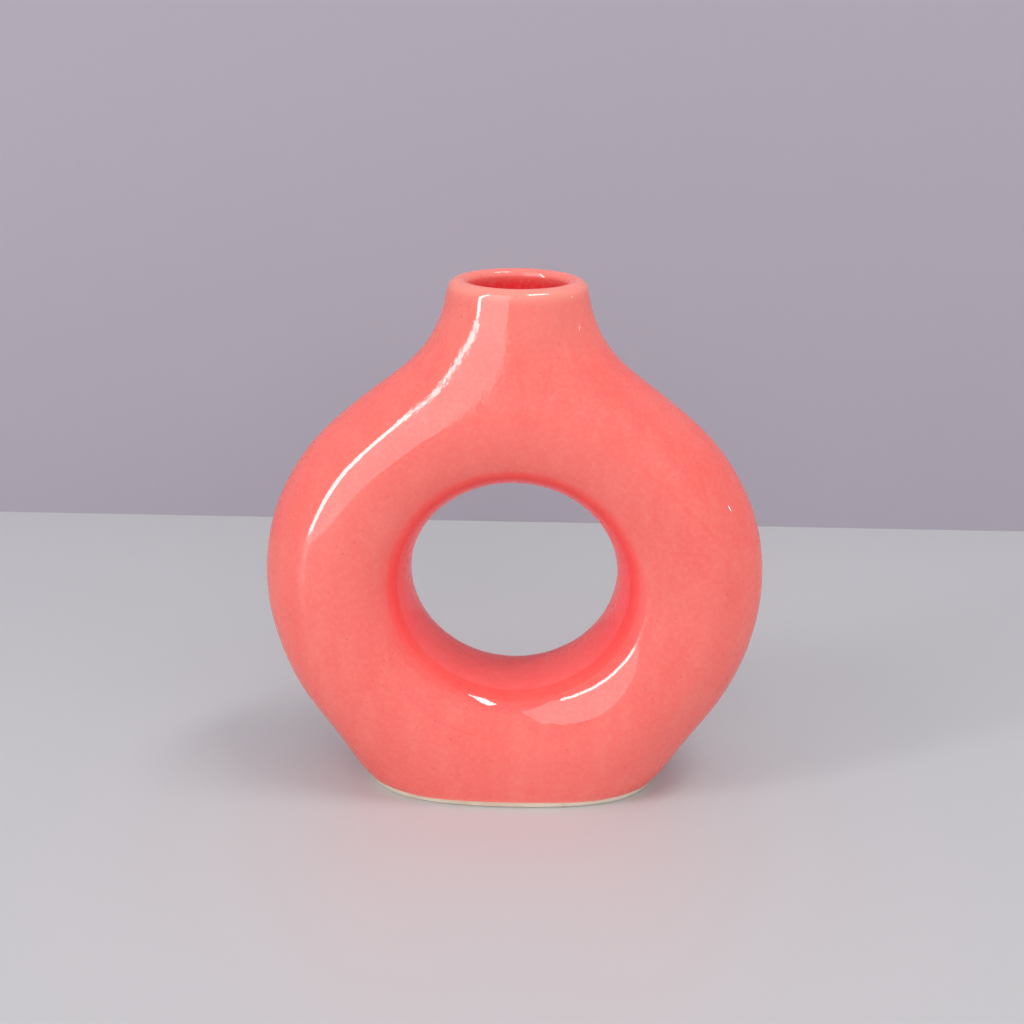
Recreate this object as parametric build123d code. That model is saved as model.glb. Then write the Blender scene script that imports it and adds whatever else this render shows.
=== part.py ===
from build123d import *
import math
import os

# A ring vase of glazed clay, in millimetres: two clay half shells joined along the middle
# plane Y = 0, a glaze coat outside and another inside. The flat foot stands on Z = 0 with its
# middle at the origin, Z points up and the front looks along -Y.

# Driving sizes. The foot cuts this much off the round of the ring, and the neck stands this
# much above it.
ring_width = 120.0
ring_depth = 38.0
hole_diameter = 50.0
foot_cut = 5.5
neck_height = 12.0
rim_diameter = 31.2

# Clay and glaze. The glaze ends a bare band above the table.
clay_wall = 4.0
rim_wall = 3.8
floor_thickness = 5.0
glaze_coat = 0.4
bare_band = 1.6
foot_round = 0.5
floor_round = 4.0

# The ring's outline, in shares of its radius and in degrees from straight down: it swells into
# the foot, sinks at the shoulders and rises again under the neck.
foot_swell_share = 0.268
foot_swell_angle = 53.9
shoulder_drop_share = 0.103
shoulder_angle = 90.0
neck_rise_share = 0.113
neck_rise_angle = 134.5
half_turn = 180.0

# The ring's section: where its front and back stand furthest out, and how full each side is.
# A fullness of 0.71 is an ellipse, and more is squarer.
crown_share = 0.5
hole_side_fullness = 1.09
outer_side_fullness = 0.655
section_count = 15

# The neck is round at the rim. Its sides widen by this share of the way down, and from front to
# back it grows to this share of the ring's depth. The hollow curve from its side to the ring
# springs this far under the lip and lands on the shoulder at this share of the ring's radius.
side_slope_share = 0.195
neck_depth_share = 0.9
spring_gap = 0.2
landing_share = 0.966

# The rim's outer and inner edges are rounded by these shares of its wall.
outer_lip_share = 0.56
inner_lip_share = 0.34

# Room by which a cutting shape runs past what it cuts.
overrun = 20.0

ring_radius = ring_width / 2
hole_radius = hole_diameter / 2
half_depth = ring_depth / 2
crown_radius = hole_radius + crown_share * (ring_radius - hole_radius)

hole_height = ring_radius - foot_cut
crown_height = hole_height + crown_radius
vase_height = hole_height + ring_radius + neck_height
clay_top = vase_height - glaze_coat
neck_length = vase_height - crown_height

# The rim from outside to inside, at the vase's full height: glaze, clay, clay, glaze. The two
# coats meet on the flat left between the rounded edges.
rim_radius = rim_diameter / 2
clay_neck_radius = rim_radius - glaze_coat
clay_mouth_radius = clay_neck_radius - rim_wall
mouth_radius = clay_mouth_radius - glaze_coat
outer_lip = outer_lip_share * rim_wall
inner_lip = inner_lip_share * rim_wall
side_slope = math.atan(side_slope_share)
front_slope_share = (neck_depth_share * half_depth - rim_radius) / neck_length
outer_lip_reach = outer_lip * math.tan(math.pi / 4 - side_slope / 2)
inner_lip_reach = inner_lip * math.tan(math.pi / 4 + side_slope / 2)
lip_flat = rim_wall - outer_lip_reach - inner_lip_reach
lip_meeting_radius = clay_mouth_radius + inner_lip_reach + lip_flat / 2

# A circle that touches the sloping neck at the spring and the ring at the landing: its centre
# is one corner of a triangle, and the middle of the hole is another.
spring_depth = outer_lip + glaze_coat + spring_gap
spring_radius = rim_radius + side_slope_share * spring_depth
spring_height = vase_height - spring_depth - hole_height
landing_radius = landing_share * ring_radius
spring_reach = spring_radius * math.cos(side_slope) + spring_height * math.sin(side_slope)
spring_power = spring_radius**2 + spring_height**2 - landing_radius**2
blend_radius = spring_power / (2 * (landing_radius - spring_reach))


def outer_reach(angle):
    """How far the ring reaches from the hole's axis at an angle from straight down."""
    turned = min(abs(angle), 2 * half_turn - abs(angle))
    share = 1
    if turned < foot_swell_angle:
        share += foot_swell_share * (1 + math.cos(math.pi * turned / foot_swell_angle)) / 2
    if turned > shoulder_angle:
        share -= shoulder_drop_share * math.cos(math.radians(turned)) ** 2
    if turned > neck_rise_angle:
        climb = (turned - neck_rise_angle) / (half_turn - neck_rise_angle)
        share += neck_rise_share * (1 - math.cos(math.pi * climb)) / 2
    return share * ring_radius


def ring_section(angle, inset):
    """The ring's closed section at one angle, an even inset inside the glaze."""
    across = math.sin(math.radians(angle))
    down = math.cos(math.radians(angle))
    plane = Plane((0, 0, hole_height), x_dir=(across, 0, -down), z_dir=(down, 0, across))
    near = hole_radius + inset
    far = outer_reach(angle) - inset
    deep = half_depth - inset

    def quarter(start, corner, end, fullness):
        points = [plane.from_local_coords((*point, 0)) for point in (start, corner, end)]
        return Edge.make_bezier(*points, weights=[1, fullness, 1])

    return Wire([
        quarter((near, 0), (near, deep), (crown_radius, deep), hole_side_fullness),
        quarter((crown_radius, deep), (far, deep), (far, 0), outer_side_fullness),
        quarter((far, 0), (far, -deep), (crown_radius, -deep), outer_side_fullness),
        quarter((crown_radius, -deep), (near, -deep), (near, 0), hole_side_fullness),
    ])


def ring_half(inset):
    """The right half of the ring, run one section past the middle at both ends."""
    step = half_turn / section_count
    return Solid.make_loft([ring_section(step * i, inset) for i in range(-1, section_count + 2)])


def front_right(bottom):
    """A block over the front right quarter, from a given height up."""
    reach = ring_width + overrun
    return Pos(0, -reach, bottom) * Solid.make_box(reach, reach, vase_height + 2 * overrun)


def neck_section(rim, height):
    """A neck's level section, from its radius at the vase's full height."""
    down = vase_height - height
    plane = Plane((0, 0, height))
    return Wire.make_ellipse(rim + side_slope_share * down, rim + front_slope_share * down, plane)


def neck(rim, top):
    """The front right quarter of a neck that reaches down into the ring."""
    whole = Solid.make_loft([neck_section(rim, crown_height), neck_section(rim, top)], ruled=True)
    return (whole & front_right(crown_height)).solid()


def post(radius, bottom, top):
    """The front right quarter of a round post on the neck's axis."""
    whole = Solid.make_cylinder(radius, top - bottom, Plane((0, 0, bottom)))
    return (whole & front_right(bottom)).solid()


def rim_edge(form, rim, height):
    """The round edge where a form's neck or bore meets the level of its rim."""
    level = form.edges().filter_by_position(Axis.Z, height - glaze_coat / 2, height + glaze_coat / 2)
    return [
        edge for edge in level
        if abs(math.hypot(edge.center().X, edge.center().Y) - rim) < glaze_coat
    ]


def bottom_rim(form):
    """The curved edge round a form's flat bottom."""
    flat = form.faces().sort_by(Axis.Z)[0]
    return [edge for edge in flat.edges() if edge.geom_type != GeomType.LINE]


def vase_form(inset, rim, top, bottom):
    """Ring and neck with the hollow curve between them, as a front right quarter."""
    ring = (ring_half(inset) & front_right(bottom)).solid()
    form = ring.fuse(neck(rim, top))
    meeting = [
        edge
        for edge in form.edges().filter_by(GeomType.BSPLINE)
        if crown_height < edge.center().Z < top - neck_height / 2
        and min(edge.center().X, -edge.center().Y) > clay_wall
    ]
    return form.fillet(blend_radius + inset, meeting)


def with_lip(form, rim, top, rounding):
    """A form whose neck has a rounded upper edge."""
    return form.fillet(rounding, rim_edge(form, rim, top))


def with_flare(form, rim, top, rounding):
    """A hollow that widens over the lip as far as the two coats' meeting line."""
    form = form.fuse(post(lip_meeting_radius, top, vase_height + overrun))
    return form.fillet(rounding, rim_edge(form, rim, top))


def both_sides(quarter):
    return quarter.fuse(mirror(quarter, Plane.YZ).solid())


def all_round(quarter):
    front = both_sides(quarter)
    return front.fuse(mirror(front, Plane.XZ).solid())


# Four nested forms, each a quarter: outside of the glaze, outside of the clay, the hollow in
# the clay and the free space in the glazed hollow.
hollow_inset = glaze_coat + clay_wall
space_inset = hollow_inset + glaze_coat

glaze_form = vase_form(0, rim_radius, vase_height, bare_band)
clay_form = vase_form(glaze_coat, clay_neck_radius, clay_top, 0)
hollow_form = vase_form(hollow_inset, clay_mouth_radius, clay_top, floor_thickness)
space_form = vase_form(space_inset, mouth_radius, vase_height, floor_thickness + glaze_coat)

clay_form = clay_form.fillet(foot_round, bottom_rim(clay_form))
hollow_form = hollow_form.fillet(floor_round, bottom_rim(hollow_form))
space_form = space_form.fillet(floor_round - glaze_coat, bottom_rim(space_form))

# The clay wall, with both edges of its rim rounded.
shell = (clay_form - hollow_form).solid()
shell = shell.fillet(outer_lip, rim_edge(shell, clay_neck_radius, clay_top))
shell = shell.fillet(inner_lip, rim_edge(shell, clay_mouth_radius, clay_top))

# The outer coat ends on the flat of the lip, where the inner coat begins.
outer_coat = with_lip(glaze_form, rim_radius, vase_height, outer_lip + glaze_coat)
outer_coat -= with_lip(clay_form, clay_neck_radius, clay_top, outer_lip)
outer_coat -= post(lip_meeting_radius, clay_top - outer_lip, vase_height + overrun)

inner_coat = with_flare(hollow_form, clay_mouth_radius, clay_top, inner_lip)
inner_coat -= with_flare(space_form, mouth_radius, vase_height, inner_lip + glaze_coat)

front_shell = both_sides(shell)
pieces = {
    "front_shell": front_shell,
    "rear_shell": mirror(front_shell, Plane.XZ),
    "outer_glaze": all_round(outer_coat.solid()),
    "inner_glaze": all_round(inner_coat.solid()),
}

os.makedirs("parts", exist_ok=True)
for name, piece in pieces.items():
    print(name, piece.is_valid, len(piece.solids()), round(piece.volume))
    export_step(piece, f"parts/{name}.step")
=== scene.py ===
import math

import bpy
from mathutils import Matrix, Vector


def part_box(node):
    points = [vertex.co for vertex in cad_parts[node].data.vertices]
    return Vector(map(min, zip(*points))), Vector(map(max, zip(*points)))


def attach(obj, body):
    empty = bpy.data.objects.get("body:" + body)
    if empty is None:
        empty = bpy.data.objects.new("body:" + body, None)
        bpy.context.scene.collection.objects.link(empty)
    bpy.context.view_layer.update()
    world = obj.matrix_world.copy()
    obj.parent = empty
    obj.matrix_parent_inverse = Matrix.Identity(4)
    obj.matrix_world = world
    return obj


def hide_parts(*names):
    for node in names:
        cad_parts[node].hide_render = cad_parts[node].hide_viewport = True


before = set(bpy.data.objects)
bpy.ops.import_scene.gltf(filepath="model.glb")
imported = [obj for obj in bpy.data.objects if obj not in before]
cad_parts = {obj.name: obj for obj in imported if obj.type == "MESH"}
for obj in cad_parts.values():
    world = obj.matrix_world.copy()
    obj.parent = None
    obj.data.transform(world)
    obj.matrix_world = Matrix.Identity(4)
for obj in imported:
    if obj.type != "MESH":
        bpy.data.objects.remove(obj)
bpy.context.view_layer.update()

# A glazed ring vase, in metres. The clay shells come with the frame. The two coats of glaze are
# modelled here over the frame's own coats, with the foot on Z = 0 and the front looking along -Y.

# The ring, the neck and the rim. The two coats meet on the flat of the rounded lip, and each is
# modelled this little bit past the meeting line, so that it ends on it when it is laid on.
HOLE_HEIGHT = 0.0545
CROWN_RADIUS = 0.0425
NECK_START = 0.1225
OUTER_NECK_RADIUS = 0.0175
RIM_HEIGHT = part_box("outer_glaze")[1][2]
RIM_RADIUS = 0.0156
MOUTH_RADIUS = 0.0110
LIP_MEETING_RADIUS = 0.01321
LIP_MEETING_ROOM = 0.0001
OUTER_LIP = 0.0020
INNER_LIP = 0.0017
FOOT_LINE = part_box("outer_glaze")[0][2]
COAT = 0.0004

# The rough ring that each coat starts from: how thick it is, how finely it is divided, and how
# many steps of its top are opened for the neck, to each side of the middle.
OUTER_TUBE = 0.0217
LINING_TUBE = 0.0105
ROUND_STEPS = 64
TUBE_STEPS = 36
OPENING_STEPS = 4
OPENING_TUBE_STEPS = 6
NECK_CUTS = 6
LIP_STEPS = 5
SMOOTH_ANGLE = math.radians(40)

# The outer glaze lies a little unevenly. It is even near its two edges, and then the unevenness
# grows over this length.
UNEVENNESS = 0.00014
UNEVEN_LENGTH = 0.016
EVEN_EDGE = 0.0012
UNEVEN_GROWTH = 0.006

# The colours of the glazes and of the clay.
CORAL_LIGHT = (0.92, 0.145, 0.12)
CORAL_DEEP = (0.90, 0.125, 0.103)
# The lining is the coral glaze, painted a deeper, more saturated red as painted shade inside.
LINING_PAINTED_SHADE_LIGHT = (0.98, 0.05, 0.06)
LINING_PAINTED_SHADE_DEEP = (0.96, 0.04, 0.05)
# Paler coral where the glaze is thin, and on the neck as a painted reflection.
THIN_GLAZE_AND_REFLECTION = (0.93, 0.32, 0.25)
# A deeper red painted in the hole as painted shade.
HOLE_PAINTED_SHADE = (0.97, 0.085, 0.09)
PINHOLE_RED = (0.50, 0.05, 0.045)
CLAY_DARK = (0.70, 0.58, 0.44)
CLAY_LIGHT = (0.80, 0.70, 0.56)
CLAY_PALE = (0.86, 0.79, 0.70)
CLAY_BROWN = (0.38, 0.27, 0.18)

# Cloudy patterns, each with its fineness and its levels of detail.
GLAZE_CLOUDS = (38, 3)
GLAZE_RUNS = (210, 3)
GLAZE_MOTTLE = (1000, 3)
GLAZE_SHEEN = (240, 3)
SOFT_WAVES = (300, 2)
FINE_WAVES = (1100, 2)
WIPED_RIPPLES = (900, 3)
CLAY_CLOUDS = (140, 4)
CLAY_POWDER = (1500, 2)
CLAY_SHEEN = (700, 2)
CLAY_GRAIN = (1800, 3)

# Specks, each with their fineness, their size and the share of them that is kept, then how
# strongly they show and how sharply the kept ones are told from the rest.
PINHOLES = (500, 0.13, 0.4)
CLAY_SPECKS = (420, 0.12, 0.3)
SPECK_STRENGTH = 0.5
SPECK_CHOICE = 0.01

# The values of a pattern between which it goes from nothing to all, and how much of the pale
# powder shows on the clay.
CLOUD_RANGE = (0.35, 0.65)
SHEEN_RANGE = (0.3, 0.7)
THIN_RANGE = (0.4, 0.7)
POWDER_RANGE = (0.5, 0.8)
POWDER_SHARE = 0.4

# How deep the small waves in the surface are.
SOFT_WAVE_DEPTH = 0.000012
FINE_WAVE_DEPTH = 0.000004
RIPPLE_DEPTH = 0.00006
GRAIN_DEPTH = 0.00004

# How far the glaze goes to its thin colour: in runs and in a fine mottle all over, at the rim and
# at the foot line over these heights, and on the neck, as a painted reflection, from the first
# height to the second.
RUNS_SHARE = 0.11
MOTTLE_SHARE = 0.14
RIM_SHARE = 0.62
RIM_THINS = 0.0036
FOOT_SHARE = 0.35
FOOT_THINS = 0.0012
NECK_REFLECTION_SHARE = 0.22
NECK_REFLECTION_HEIGHTS = (0.104, 0.120)

# How much finer the runs in the glaze are across than up and down.
RUN_SHAPE = (1.0, 1.0, 0.3)

# Painted shade in the hole: the glaze is painted a deeper red there, fully at the first distance
# from the hole's axis, and no longer at the second. Low in the hole, between these heights, it is
# only partly so.
HOLE_SHADE_REACH = (0.0265, 0.0325)
HOLE_SHADE_HEIGHTS = (0.030, 0.056)
LOW_HOLE_SHADE_SHARE = 0.4

# Under the neck, where the clay was wiped smooth by hand, fine ripples show through the glaze.
# They fade in and out over these heights.
WIPED_LOW = (0.094, 0.101)
WIPED_HIGH = (0.124, 0.118)

# The gloss: a clear hard coat over a colour that hardly shines by itself. Bare clay is matt.
GLAZE_ROUGHNESS = (0.22, 0.34)
CLAY_ROUGHNESS = (0.78, 0.95)
COLOUR_SPECULAR = 0.05
CLEAR_WEIGHT = 0.3
CLEAR_IOR = 2.8
CLEAR_ROUGHNESS = 0.03

# Where the camera stands, with its angles in degrees: the photographed side, a little above the
# rim.
CAMERA_DISTANCE = 0.34665
CAMERA_ELEVATION = 19.6
CAMERA_AZIMUTH = 1.13
CAMERA_ROLL = 0.724
CAMERA_AIM = Vector((-0.000676, 0, 0.07043))
LENS_MM = 50.977
SENSOR_MM = 36.0
QUARTER_TURN = 90

# The floor, the backdrop behind the vase and the soft light from all round.
STAGE_SIZE = 1.6
FLOOR_COLOUR = (0.535, 0.54, 0.55)
FLOOR_ROUGHNESS = 0.42
BACKDROP_PLACE = 0.187
BACKDROP_COLOUR = (0.37, 0.34, 0.395)
BACKDROP_ROUGHNESS = 0.8
SURROUND_COLOUR = (0.97, 0.95, 1.0)
SURROUND_STRENGTH = 0.43


def select_none(kind):
    """In edit mode, works on one kind of element with nothing selected."""
    bpy.ops.object.mode_set(mode="EDIT")
    bpy.ops.mesh.select_mode(type=kind)
    bpy.ops.mesh.select_all(action="DESELECT")


def select_faces(piece, wanted):
    """Selects the faces whose middle is wanted."""
    select_none("FACE")
    bpy.ops.object.mode_set(mode="OBJECT")
    for face in piece.data.polygons:
        face.select = wanted(face.center)
    bpy.ops.object.mode_set(mode="EDIT")


def select_edges(piece, wanted):
    """Selects the edges whose two ends are both wanted."""
    select_none("EDGE")
    bpy.ops.object.mode_set(mode="OBJECT")
    points = piece.data.vertices
    for edge in piece.data.edges:
        edge.select = all(wanted(points[i].co) for i in edge.vertices)
    bpy.ops.object.mode_set(mode="EDIT")


def apply_modifier(piece, kind, **settings):
    """Adds a modifier to the piece and applies it."""
    bpy.ops.object.mode_set(mode="OBJECT")
    modifier = piece.modifiers.new(kind.title(), kind)
    for setting, value in settings.items():
        setattr(modifier, setting, value)
    bpy.ops.object.modifier_apply(modifier=modifier.name)


def add_ring(name, tube):
    """A plain round ring on the hole's axis, with its place and turn put into its mesh."""
    bpy.ops.object.select_all(action="DESELECT")
    bpy.ops.mesh.primitive_torus_add(
        major_segments=ROUND_STEPS,
        minor_segments=TUBE_STEPS,
        major_radius=CROWN_RADIUS,
        minor_radius=tube,
        location=(0, 0, HOLE_HEIGHT),
        rotation=(math.pi / 2, 0, 0),
    )
    ring = bpy.context.object
    ring.name = name
    ring.data.name = name
    bpy.ops.object.transform_apply(location=True, rotation=True, scale=True)
    return ring


def open_top(ring, tube):
    """Takes the faces under the neck out of the ring's top."""
    half_angle = math.tau * OPENING_STEPS / ROUND_STEPS
    half_width = tube * math.sin(math.tau * OPENING_TUBE_STEPS / TUBE_STEPS)

    def under_neck(middle):
        rise = middle.z - HOLE_HEIGHT
        reach = math.hypot(middle.x, rise)
        aside = math.atan2(abs(middle.x), rise)
        return reach > CROWN_RADIUS and aside < half_angle and abs(middle.y) < half_width

    select_faces(ring, under_neck)
    bpy.ops.mesh.delete(type="FACE")


def select_neck_edge(ring, radius, height):
    """Selects the neck's round edge at one height."""

    def on_edge(point):
        off_round = abs(math.hypot(point.x, point.y) - radius)
        return abs(point.z - height) < COAT and off_round < COAT

    select_edges(ring, on_edge)


def add_neck(ring, start_radius, radius):
    """Joins a round neck to the opening and carries it to the height and width of the rim."""
    steps_round_opening = 4 * (OPENING_STEPS + OPENING_TUBE_STEPS)
    select_none("EDGE")
    bpy.ops.mesh.primitive_circle_add(
        vertices=steps_round_opening,
        radius=start_radius,
        location=(0, 0, NECK_START),
    )
    bpy.ops.mesh.select_all(action="DESELECT")
    bpy.ops.mesh.select_non_manifold()
    bpy.ops.mesh.bridge_edge_loops(number_cuts=NECK_CUTS)
    select_neck_edge(ring, start_radius, NECK_START)
    climb = (0, 0, RIM_HEIGHT - NECK_START)
    bpy.ops.mesh.extrude_region_move(TRANSFORM_OT_translate={"value": climb})
    share = radius / start_radius
    bpy.ops.transform.resize(value=(share, share, 1), center_override=(0, 0, RIM_HEIGHT))


def add_lip(ring, radius, end_radius, rounding):
    """Turns the neck's upper edge flat to where the coats meet and rounds the corner."""
    share = end_radius / radius
    bpy.ops.mesh.extrude_region_move()
    bpy.ops.transform.resize(value=(share, share, 1), center_override=(0, 0, RIM_HEIGHT))
    select_neck_edge(ring, radius, RIM_HEIGHT)
    bpy.ops.mesh.bevel(offset=rounding, segments=LIP_STEPS, affect="EDGES")


def cut_at_foot_line(coat):
    """Cuts the coat off at the foot line, merges the slivers there and makes the cut level."""
    bpy.ops.object.mode_set(mode="EDIT")
    bpy.ops.mesh.select_all(action="SELECT")
    bpy.ops.mesh.bisect(plane_co=(0, 0, FOOT_LINE), plane_no=(0, 0, 1), clear_inner=True)
    select_edges(coat, lambda point: point.z < FOOT_LINE + 2 * COAT)
    bpy.ops.mesh.remove_doubles(threshold=COAT)
    select_edges(coat, lambda point: point.z < FOOT_LINE + COAT)
    bpy.ops.transform.resize(value=(1, 1, 0), center_override=(0, 0, FOOT_LINE))


def lay_unevenly(coat):
    """Sinks the coat here and there by a fraction of its thickness, away from its edges."""
    group = coat.vertex_groups.new(name="uneven")
    for point in coat.data.vertices:
        inside = min(RIM_HEIGHT - point.co.z, point.co.z - FOOT_LINE)
        share = (inside - EVEN_EDGE) / UNEVEN_GROWTH
        group.add([point.index], min(max(share, 0), 1), "REPLACE")
    clouds = bpy.data.textures.new("uneven_glaze", "CLOUDS")
    clouds.noise_scale = UNEVEN_LENGTH
    apply_modifier(
        coat,
        "DISPLACE",
        texture=clouds,
        texture_coords="LOCAL",
        vertex_group=group.name,
        mid_level=1.0,
        strength=UNEVENNESS,
    )
    coat.vertex_groups.clear()


def give_thickness(coat):
    """Makes the coat as thick as glaze, behind its face, and smooth but for its edges."""
    apply_modifier(coat, "SOLIDIFY", thickness=COAT, offset=-1)
    bpy.ops.object.shade_smooth_by_angle(angle=SMOOTH_ANGLE)


def make_outer_coat():
    """The coral coat outside, from the foot line to the flat of the lip."""
    coat = add_ring("outer_coat", OUTER_TUBE)
    open_top(coat, OUTER_TUBE)
    add_neck(coat, OUTER_NECK_RADIUS, RIM_RADIUS)
    add_lip(coat, RIM_RADIUS, LIP_MEETING_RADIUS - LIP_MEETING_ROOM, OUTER_LIP)
    apply_modifier(coat, "SUBSURF", levels=1, render_levels=1)
    cut_at_foot_line(coat)
    apply_modifier(coat, "SHRINKWRAP", target=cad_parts["outer_glaze"])
    apply_modifier(coat, "SUBSURF", levels=1, render_levels=1)
    lay_unevenly(coat)
    give_thickness(coat)
    return coat


def make_lining():
    """The coat inside, from the flat of the lip down into the hollow ring."""
    lining = add_ring("lining", LINING_TUBE)
    open_top(lining, LINING_TUBE)
    add_neck(lining, MOUTH_RADIUS, MOUTH_RADIUS)
    add_lip(lining, MOUTH_RADIUS, LIP_MEETING_RADIUS + LIP_MEETING_ROOM, INNER_LIP)
    apply_modifier(lining, "SUBSURF", levels=1, render_levels=1)
    apply_modifier(lining, "SHRINKWRAP", target=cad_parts["inner_glaze"])
    bpy.ops.object.mode_set(mode="EDIT")
    bpy.ops.mesh.select_all(action="SELECT")
    bpy.ops.mesh.flip_normals()
    apply_modifier(lining, "SUBSURF", levels=1, render_levels=1)
    give_thickness(lining)
    return lining


class Nodes:
    """A material's node tree, with short ways to add the nodes used here."""

    def __init__(self, name):
        self.material = bpy.data.materials.new(name)
        self.material.use_nodes = True
        self.tree = self.material.node_tree
        self.shader = self.tree.nodes["Principled BSDF"]
        self.place = self.add("ShaderNodeTexCoord").outputs["Object"]

    def add(self, kind, **inputs):
        node = self.tree.nodes.new(kind)
        for name, value in inputs.items():
            self.feed(node, name, value)
        return node

    def feed(self, node, socket, value):
        """Links a socket's value to an input, or sets the input to a plain value."""
        if isinstance(value, bpy.types.NodeSocket):
            self.tree.links.new(value, node.inputs[socket])
        else:
            node.inputs[socket].default_value = value

    def noise(self, scale, detail, place=None):
        node = self.add("ShaderNodeTexNoise", Scale=scale, Detail=detail)
        self.feed(node, "Vector", place or self.place)
        return node.outputs["Fac"]

    def runs(self, scale, detail):
        """Clouds drawn out downwards, as glaze runs in the kiln."""
        drawn = self.add("ShaderNodeMapping", Vector=self.place, Scale=RUN_SHAPE)
        return self.noise(scale, detail, drawn.outputs["Vector"])

    def spread(self, value, low, high, to_low=0.0, to_high=1.0):
        """Carries a range of a value smoothly to another range."""
        node = self.add("ShaderNodeMapRange", Value=value)
        node.interpolation_type = "SMOOTHSTEP"
        self.feed(node, "From Min", low)
        self.feed(node, "From Max", high)
        self.feed(node, "To Min", to_low)
        self.feed(node, "To Max", to_high)
        return node.outputs["Result"]

    def blend(self, share, first, second):
        """Goes from the first colour to the second by a share."""
        node = self.add("ShaderNodeMix")
        node.data_type = "RGBA"
        self.feed(node, "Factor", share)
        for socket, colour in (("A", first), ("B", second)):
            self.feed(node, socket, (*colour, 1) if isinstance(colour, tuple) else colour)
        return node.outputs["Result"]

    def times(self, first, second):
        node = self.add("ShaderNodeMath")
        node.operation = "MULTIPLY"
        self.feed(node, 0, first)
        self.feed(node, 1, second)
        return node.outputs["Value"]

    def height(self):
        return self.add("ShaderNodeSeparateXYZ", Vector=self.place).outputs["Z"]

    def from_hole(self):
        """The distance from the hole's axis."""
        level = self.add("ShaderNodeMapping", Vector=self.place, Scale=(1, 0, 1))
        self.feed(level, "Location", (0, 0, -HOLE_HEIGHT))
        length = self.add("ShaderNodeVectorMath", Vector=level.outputs["Vector"])
        length.operation = "LENGTH"
        return length.outputs["Value"]

    def specks(self, scale, size, kept):
        """Small round specks, in a share of the cells of a loose pattern."""
        cells = self.add("ShaderNodeTexVoronoi", Vector=self.place, Scale=scale)
        near = self.spread(cells.outputs["Distance"], size, size / 2)
        chance = self.add("ShaderNodeSeparateColor", Color=cells.outputs["Color"]).outputs["Red"]
        chosen = self.spread(chance, 1 - kept, 1 - kept + SPECK_CHOICE)
        return self.times(self.times(near, chosen), SPECK_STRENGTH)

    def bump(self, height, depth, under=None):
        node = self.add("ShaderNodeBump", Height=height, Distance=depth)
        if under:
            self.feed(node, "Normal", under)
        return node.outputs["Normal"]


def glaze_colour(nodes, light, deep, neck_reflection_share):
    """Clouded colour, paler where the glaze is thin, with a few pinholes. The neck is painted paler
    as a painted reflection, and the hole deeper red as painted shade.
    """
    height = nodes.height()
    clouds = nodes.spread(nodes.noise(*GLAZE_CLOUDS), *CLOUD_RANGE)
    runs = nodes.spread(nodes.runs(*GLAZE_RUNS), *THIN_RANGE, 0.0, RUNS_SHARE)
    mottle = nodes.spread(nodes.noise(*GLAZE_MOTTLE), *THIN_RANGE, 0.0, MOTTLE_SHARE)
    # Painted shade: deeper red near the hole's axis.
    hole_shade = nodes.spread(nodes.from_hole(), *HOLE_SHADE_REACH, 1.0, 0.0)
    hole_shade = nodes.times(hole_shade, nodes.spread(height, *HOLE_SHADE_HEIGHTS, LOW_HOLE_SHADE_SHARE, 1.0))
    rim = nodes.spread(height, RIM_HEIGHT - RIM_THINS, RIM_HEIGHT - COAT, 0.0, RIM_SHARE)
    # Painted reflection: the neck is made paler.
    neck = nodes.spread(height, *NECK_REFLECTION_HEIGHTS, 0.0, neck_reflection_share)
    foot = nodes.spread(height, FOOT_LINE + FOOT_THINS, FOOT_LINE, 0.0, FOOT_SHARE)

    colour = nodes.blend(clouds, deep, light)
    colour = nodes.blend(runs, colour, THIN_GLAZE_AND_REFLECTION)
    colour = nodes.blend(mottle, colour, THIN_GLAZE_AND_REFLECTION)
    colour = nodes.blend(hole_shade, colour, HOLE_PAINTED_SHADE)
    for share in (rim, neck, foot):
        colour = nodes.blend(share, colour, THIN_GLAZE_AND_REFLECTION)
    return nodes.blend(nodes.specks(*PINHOLES), colour, PINHOLE_RED)


def glaze_skin(nodes):
    """The glaze's slight waves, with the ripples of the wiped clay under the neck."""
    height = nodes.height()
    wiped = nodes.times(nodes.spread(height, *WIPED_LOW), nodes.spread(height, *WIPED_HIGH))
    skin = nodes.bump(nodes.noise(*SOFT_WAVES), SOFT_WAVE_DEPTH)
    skin = nodes.bump(nodes.noise(*FINE_WAVES), FINE_WAVE_DEPTH, skin)
    return nodes.bump(nodes.times(nodes.noise(*WIPED_RIPPLES), wiped), RIPPLE_DEPTH, skin)


def glaze(name, light, deep, neck_reflection_share):
    """A glossy glaze."""
    nodes = Nodes(name)
    skin = glaze_skin(nodes)
    sheen = nodes.spread(nodes.noise(*GLAZE_SHEEN), *SHEEN_RANGE, *GLAZE_ROUGHNESS)
    shader = nodes.shader
    nodes.feed(shader, "Base Color", glaze_colour(nodes, light, deep, neck_reflection_share))
    nodes.feed(shader, "Roughness", sheen)
    nodes.feed(shader, "Normal", skin)
    nodes.feed(shader, "Coat Normal", skin)
    shader.inputs["Specular IOR Level"].default_value = COLOUR_SPECULAR
    shader.inputs["Coat Weight"].default_value = CLEAR_WEIGHT
    shader.inputs["Coat IOR"].default_value = CLEAR_IOR
    shader.inputs["Coat Roughness"].default_value = CLEAR_ROUGHNESS
    return nodes.material


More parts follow.
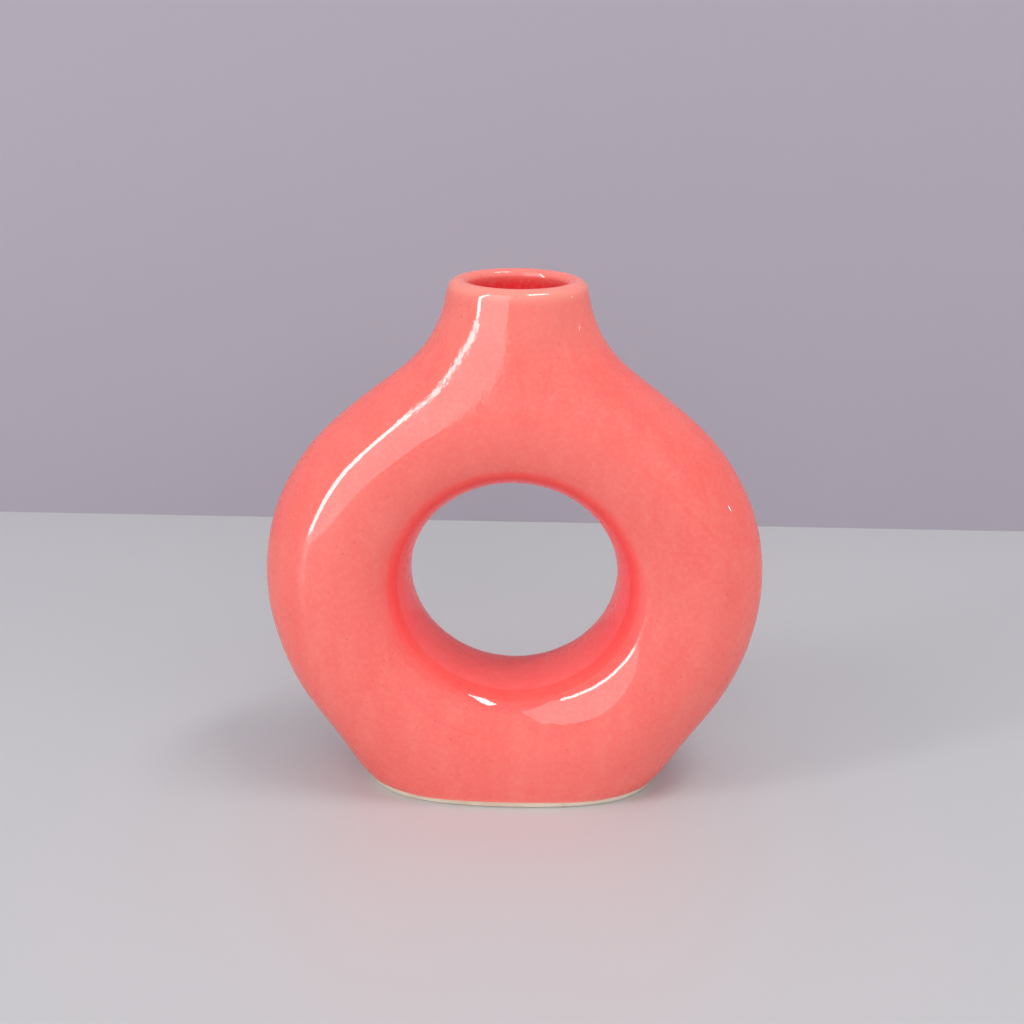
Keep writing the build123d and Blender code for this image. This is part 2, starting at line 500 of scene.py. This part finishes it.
def bare_clay():
    """Cream fired clay, matt, with a fine grain and a few darker specks."""
    nodes = Nodes("bare_clay")
    clouds = nodes.spread(nodes.noise(*CLAY_CLOUDS), *CLOUD_RANGE)
    powder = nodes.spread(nodes.noise(*CLAY_POWDER), *POWDER_RANGE, 0.0, POWDER_SHARE)
    colour = nodes.blend(clouds, CLAY_DARK, CLAY_LIGHT)
    colour = nodes.blend(powder, colour, CLAY_PALE)
    colour = nodes.blend(nodes.specks(*CLAY_SPECKS), colour, CLAY_BROWN)
    sheen = nodes.spread(nodes.noise(*CLAY_SHEEN), *SHEEN_RANGE, *CLAY_ROUGHNESS)
    nodes.feed(nodes.shader, "Base Color", colour)
    nodes.feed(nodes.shader, "Roughness", sheen)
    nodes.feed(nodes.shader, "Normal", nodes.bump(nodes.noise(*CLAY_GRAIN), GRAIN_DEPTH))
    return nodes.material


def plain(name, colour, roughness):
    """A plain stage colour."""
    nodes = Nodes(name)
    nodes.shader.inputs["Base Color"].default_value = (*colour, 1)
    nodes.shader.inputs["Roughness"].default_value = roughness
    return nodes


def see_through_from_behind(nodes):
    """Makes a stage surface clear when it is seen from its back."""
    tree = nodes.tree
    behind = nodes.add("ShaderNodeNewGeometry").outputs["Backfacing"]
    clear = nodes.add("ShaderNodeBsdfTransparent").outputs["BSDF"]
    choice = tree.nodes.new("ShaderNodeMixShader")
    tree.links.new(behind, choice.inputs["Fac"])
    tree.links.new(nodes.shader.outputs["BSDF"], choice.inputs[1])
    tree.links.new(clear, choice.inputs[2])
    tree.links.new(choice.outputs["Shader"], tree.nodes["Material Output"].inputs["Surface"])


def turned(degrees, axis):
    return Matrix.Rotation(math.radians(degrees), 4, axis)


def soft_box(name, side, rise, distance, size, brightness, upright=False, roll=0):
    """A flat lamp that faces the ring's middle, or stands upright, seen from there at an angle
    from the front, positive to the right, and at an angle above level, both in degrees."""
    lamp = bpy.data.lights.new(name, "AREA")
    lamp.shape = "RECTANGLE"
    lamp.size, lamp.size_y = size
    lamp.energy = brightness * math.pi * lamp.size * lamp.size_y
    box = bpy.data.objects.new(name, lamp)
    middle = Matrix.Translation((0, 0, HOLE_HEIGHT))
    turn = turned(side, "Z")
    tilt = turned(QUARTER_TURN - rise, "X")
    out = Matrix.Translation((0, 0, distance))
    lean = turned(rise if upright else 0, "X")
    box.matrix_world = middle @ turn @ tilt @ out @ lean @ turned(roll, "Z")
    bpy.context.scene.collection.objects.link(box)
    return box


def card(*place, **settings):
    """A soft box that only shows in the gloss."""
    soft_box(*place, **settings, upright=True).visible_diffuse = False


def fill(*place, **settings):
    """A soft box that only lights, and doesn't show in the gloss."""
    soft_box(*place, **settings).visible_glossy = False


def add_lamps():
    """A bright strip, cards for the soft reflections, wide fills and two small bright lamps."""
    soft_box("strip", side=-60, rise=24, distance=1.2, size=(0.13, 1.3), brightness=10)
    card("left_card", side=-36.6, rise=40.2, distance=0.643, size=(0.425, 0.94), brightness=1.5)
    card("front_card", side=23.5, rise=40, distance=1.3, size=(1.48, 1.7), brightness=0.19)
    fill("left_fill", side=-50, rise=20, distance=1.4, size=(1.4, 1.4), brightness=0.25)
    fill("top_fill", side=0, rise=80, distance=1.2, size=(1.5, 1.5), brightness=0.45)
    fill("right_fill", side=50, rise=14, distance=1.4, size=(1.4, 1.4), brightness=0.95)
    fill("front_fill", side=4, rise=26, distance=1.5, size=(1.0, 0.8), brightness=2.1)
    soft_box("high_lamp", side=65, rise=68, distance=1.2, size=(0.5, 0.18), brightness=12, roll=-19)
    soft_box("side_lamp", side=97, rise=8, distance=1.2, size=(0.025, 0.04), brightness=15)


def add_camera():
    camera = bpy.data.objects.new("camera", bpy.data.cameras.new("camera"))
    camera.data.lens = LENS_MM
    camera.data.sensor_width = SENSOR_MM
    turn = turned(CAMERA_AZIMUTH, "Z")
    tilt = turned(QUARTER_TURN - CAMERA_ELEVATION, "X")
    roll = turned(CAMERA_ROLL, "Z")
    back = Matrix.Translation((0, 0, CAMERA_DISTANCE))
    aim = Matrix.Translation(turn @ CAMERA_AIM)
    camera.matrix_world = aim @ turn @ tilt @ back @ roll
    bpy.context.scene.collection.objects.link(camera)
    bpy.context.scene.camera = camera


def add_plane(name, place, turn, nodes):
    """A large flat stage surface."""
    bpy.ops.object.select_all(action="DESELECT")
    bpy.ops.mesh.primitive_plane_add(size=STAGE_SIZE, location=place, rotation=turn)
    plane = bpy.context.object
    plane.name = name
    plane.data.materials.append(nodes.material)


def add_stage():
    floor = plain("pale_floor", FLOOR_COLOUR, FLOOR_ROUGHNESS)
    backdrop = plain("pale_backdrop", BACKDROP_COLOUR, BACKDROP_ROUGHNESS)
    see_through_from_behind(backdrop)
    add_plane("floor", (0, 0, 0), (0, 0, 0), floor)
    add_plane("backdrop", (0, BACKDROP_PLACE, 0), (math.pi / 2, 0, 0), backdrop)
    world = bpy.data.worlds.new("soft_surround")
    bpy.context.scene.world = world
    world.use_nodes = True
    surround = world.node_tree.nodes["Background"]
    surround.inputs["Color"].default_value = (*SURROUND_COLOUR, 1)
    surround.inputs["Strength"].default_value = SURROUND_STRENGTH


outer_coat = make_outer_coat()
lining = make_lining()
coral = glaze("coral_glaze", CORAL_LIGHT, CORAL_DEEP, neck_reflection_share=NECK_REFLECTION_SHARE)
# The lining's colours are painted shade: the coral glaze made a deeper red inside.
lining_shaded_glaze = glaze("lining_glaze", LINING_PAINTED_SHADE_LIGHT, LINING_PAINTED_SHADE_DEEP, neck_reflection_share=0.0)
outer_coat.data.materials.append(coral)
lining.data.materials.append(lining_shaded_glaze)
clay = bare_clay()
for shell in ("front_shell", "rear_shell"):
    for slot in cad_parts[shell].material_slots:
        slot.material = clay

coats = (
    (outer_coat, "outer_glaze", "coral_glaze"),
    (lining, "inner_glaze", "lining_glaze"),
)
for piece, node, slot in coats:
    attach(piece, "root")
    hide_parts(node)

add_lamps()
add_stage()
add_camera()
bpy.context.scene.view_settings.view_transform = "Standard"
